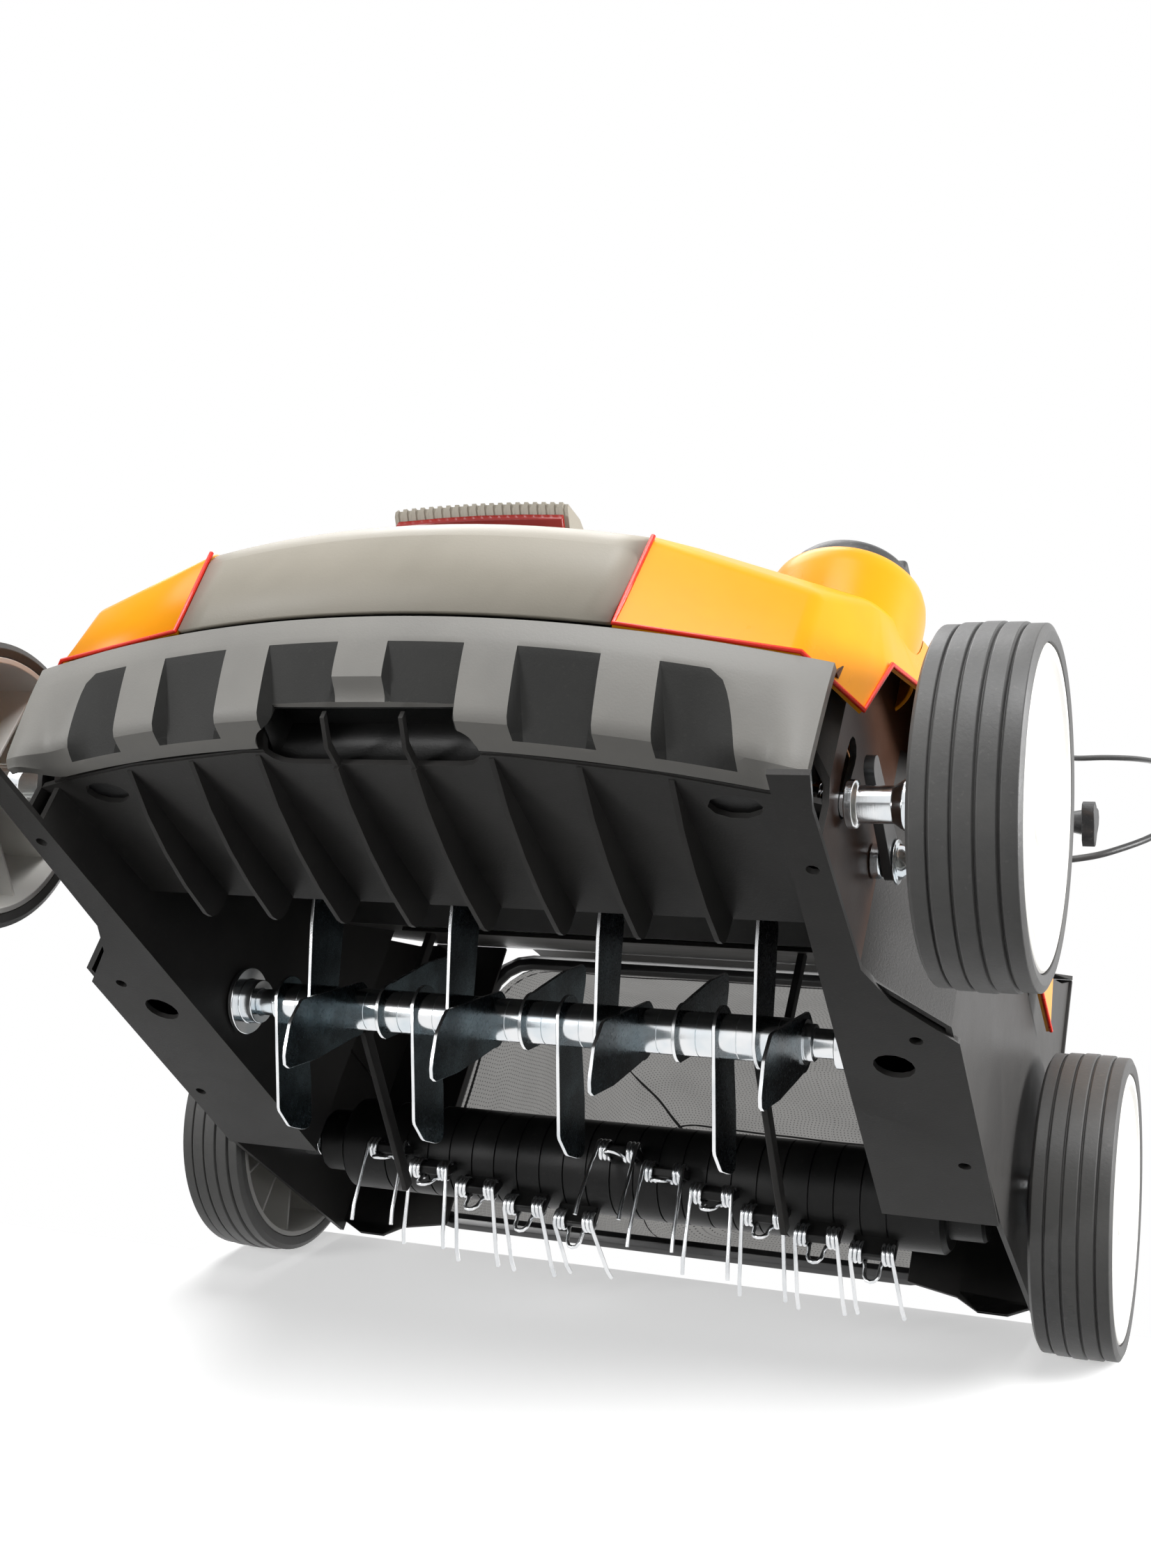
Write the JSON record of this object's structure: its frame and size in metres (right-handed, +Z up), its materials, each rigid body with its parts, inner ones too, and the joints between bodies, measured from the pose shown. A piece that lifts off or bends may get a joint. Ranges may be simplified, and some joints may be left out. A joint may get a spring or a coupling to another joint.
{
  "type": "lawn_scarifier",
  "caption": "cordless lawn scarifier with orange side covers, grey bumper, ribbed wheels, a blade roller, a spring tine roller, grass bag and folding handle",
  "frame": {"origin": "middle of the footprint, on the ground between the wheels", "axes": "+Z up, front of the machine faces -Y, right side of the machine as the picture shows it at +X"},
  "size_m": [0.61, 1.0152, 0.9053],
  "materials": {
    "deck": "black moulded plastic with a soft sheen",
    "bumper": "mid grey moulded plastic, finely grained",
    "hood": "warm dark grey moulded plastic, satin",
    "orange": "orange plastic, glossy, redder along its edges",
    "pack": "black plastic, matt",
    "knob": "black plastic, lightly grained",
    "red": "red plastic",
    "zinc": "bright zinc plated steel",
    "tube": "silver coated steel tube",
    "dark_steel": "black coated steel",
    "blade": "spring steel, bluish black faces and bright ground edges",
    "belt": "black rubber belt",
    "tyre": "dark grey rubber, ribbed round its run",
    "disc": "off-white plastic disc",
    "mesh": "black woven mesh",
    "foam": "black foam sleeve",
    "cable": "black rubber sheath"
  },
  "bodies": {
    "chassis": {"deck_housing": "deck", "front_bumper": "bumper", "hood_cover": "hood", "side_cover_left": "orange", "side_cover_right": "orange", "rear_cover": "deck", "battery_bay": "deck", "battery_pack": "pack", "turret_cup": "orange", "crank_rod": "zinc", "rear_axle_left": "zinc", "rear_axle_right": "zinc", "drive_motor": "dark_steel", "motor_bracket": "zinc", "drive_belt": "belt", "blade_bearing_left": "zinc", "blade_bearing_right": "zinc", "tine_bearing_left": "zinc", "tine_bearing_right": "zinc", "stripper_guard": "pack", "flap_rod": "zinc"},
    "lid": {"battery_lid": "hood"},
    "release": {"battery_release": "red"},
    "depth_dial": {"depth_knob": "knob", "depth_spindle": "zinc"},
    "lifter": {"depth_nut": "pack"},
    "crank": {"front_axle": "zinc", "crank_frame": "dark_steel"},
    "front_wheel_left": {"wheel_front_left": "disc", "tyre_front_left": "tyre"},
    "front_wheel_right": {"wheel_front_right": "disc", "tyre_front_right": "tyre"},
    "rear_wheel_left": {"wheel_rear_left": "disc", "tyre_rear_left": "tyre"},
    "rear_wheel_right": {"wheel_rear_right": "disc", "tyre_rear_right": "tyre"},
    "motor_rotor": {"motor_pulley": "zinc"},
    "blade_roller": {"blade_shaft": "zinc", "scarifier_blades": "blade", "shaft_pulley": "pack"},
    "tine_roller": {"tine_core": "pack", "tine_springs": "zinc"},
    "flap": {"rear_flap": "deck"},
    "grass_bag": {"bag_frame": "dark_steel", "bag_fabric": "mesh", "bag_handle": "knob"},
    "lower_handle": {"lower_tube_left": "tube", "lower_tube_right": "tube", "cable_loop": "cable"},
    "upper_handle": {"upper_tube": "tube", "handle_grip": "foam", "switch_box": "knob", "cable_upper": "cable", "cable_clip": "knob"},
    "start_button": {"lock_button": "orange"},
    "bail": {"bail_lever": "orange"},
    "base_knob_l": {"base_knob_left": "knob"},
    "base_knob_r": {"base_knob_right": "knob"},
    "fold_knob_l": {"fold_knob_left": "knob"},
    "fold_knob_r": {"fold_knob_right": "knob"}
  },
  "joints": [
    {"name": "lid_hinge", "type": "hinge", "parent": "chassis", "child": "lid", "pos_m": [0, -0.21879, 0.325], "axis": [-1, 0, 0], "range_deg": [0, 75]},
    {"name": "release_push", "type": "slide", "parent": "chassis", "child": "release", "axis": [0, 0, -1], "range_m": [0, 0.003], "stiffness_N_per_m": 250},
    {"name": "depth_turn", "type": "hinge", "parent": "chassis", "child": "depth_dial", "pos_m": [0.185, -0.39279, 0.2285], "axis": [0, 0, 1], "range_deg": [0, 270]},
    {"name": "crank_lift", "type": "hinge", "parent": "chassis", "child": "crank", "pos_m": [0, -0.35479, 0.0936], "axis": [-1, 0, 0], "range_deg": [0, 26]},
    {"name": "lifter_slide", "type": "slide", "parent": "chassis", "child": "lifter", "axis": [0, 0, 1], "range_m": [0, 0.0297]},
    {"name": "front_wheel_left_spin", "type": "hinge", "parent": "crank", "child": "front_wheel_left", "pos_m": [-0.2795, -0.41879, 0.0795], "axis": [1, 0, 0], "continuous": true},
    {"name": "rear_wheel_left_spin", "type": "hinge", "parent": "chassis", "child": "rear_wheel_left", "pos_m": [-0.282, -0.00829, 0.08943], "axis": [1, 0, 0], "continuous": true},
    {"name": "front_wheel_right_spin", "type": "hinge", "parent": "crank", "child": "front_wheel_right", "pos_m": [0.2795, -0.41879, 0.0795], "axis": [1, 0, 0], "continuous": true},
    {"name": "rear_wheel_right_spin", "type": "hinge", "parent": "chassis", "child": "rear_wheel_right", "pos_m": [0.282, -0.00829, 0.08943], "axis": [1, 0, 0], "continuous": true},
    {"name": "blade_spin", "type": "hinge", "parent": "chassis", "child": "blade_roller", "pos_m": [0, -0.22879, 0.0635], "axis": [1, 0, 0], "continuous": true},
    {"name": "motor_spin", "type": "hinge", "parent": "chassis", "child": "motor_rotor", "pos_m": [0, -0.37379, 0.135], "axis": [1, 0, 0], "continuous": true},
    {"name": "tine_spin", "type": "hinge", "parent": "chassis", "child": "tine_roller", "pos_m": [0, -0.01879, 0.075], "axis": [1, 0, 0], "continuous": true},
    {"name": "flap_hinge", "type": "hinge", "parent": "chassis", "child": "flap", "pos_m": [0, 0.07171, 0.3045], "axis": [1, 0, 0], "range_deg": [0, 70]},
    {"name": "bag_pull", "type": "slide", "parent": "chassis", "child": "grass_bag", "axis": [0, 1, 0], "range_m": [0, 0.25]},
    {"name": "handle_fold", "type": "hinge", "parent": "chassis", "child": "lower_handle", "pos_m": [0, -0.02379, 0.269], "axis": [1, 0, 0], "range_deg": [-10, 70]},
    {"name": "upper_fold", "type": "hinge", "parent": "lower_handle", "child": "upper_handle", "pos_m": [0, 0.17612, 0.50724], "axis": [-1, 0, 0], "range_deg": [-130, 60]},
    {"name": "start_push", "type": "slide", "parent": "upper_handle", "child": "start_button", "axis": [0, 0.766, -0.6428], "range_m": [0, 0.004], "stiffness_N_per_m": 200},
    {"name": "bail_pull", "type": "hinge", "parent": "upper_handle", "child": "bail", "pos_m": [0, 0.43763, 0.82824], "axis": [-1, 0, 0], "range_deg": [0, 24], "stiffness_Nm_per_rad": 0.6},
    {"name": "base_knob_left_turn", "type": "hinge", "parent": "chassis", "child": "base_knob_l", "pos_m": [-0.2321, -0.02379, 0.269], "axis": [1, 0, 0], "continuous": true},
    {"name": "fold_knob_left_turn", "type": "hinge", "parent": "lower_handle", "child": "fold_knob_l", "pos_m": [-0.2283, 0.17612, 0.50724], "axis": [1, 0, 0], "continuous": true},
    {"name": "base_knob_right_turn", "type": "hinge", "parent": "chassis", "child": "base_knob_r", "pos_m": [0.2321, -0.02379, 0.269], "axis": [1, 0, 0], "continuous": true},
    {"name": "fold_knob_right_turn", "type": "hinge", "parent": "lower_handle", "child": "fold_knob_r", "pos_m": [0.2283, 0.17612, 0.50724], "axis": [1, 0, 0], "continuous": true}
  ],
  "couplings": [
    {"joint": "motor_spin", "follows": "blade_spin", "ratio": 2.0455},
    {"joint": "depth_turn", "follows": "crank_lift", "ratio": 10.385},
    {"joint": "lifter_slide", "follows": "crank_lift", "m_per_rad": 0.06497}
  ]
}
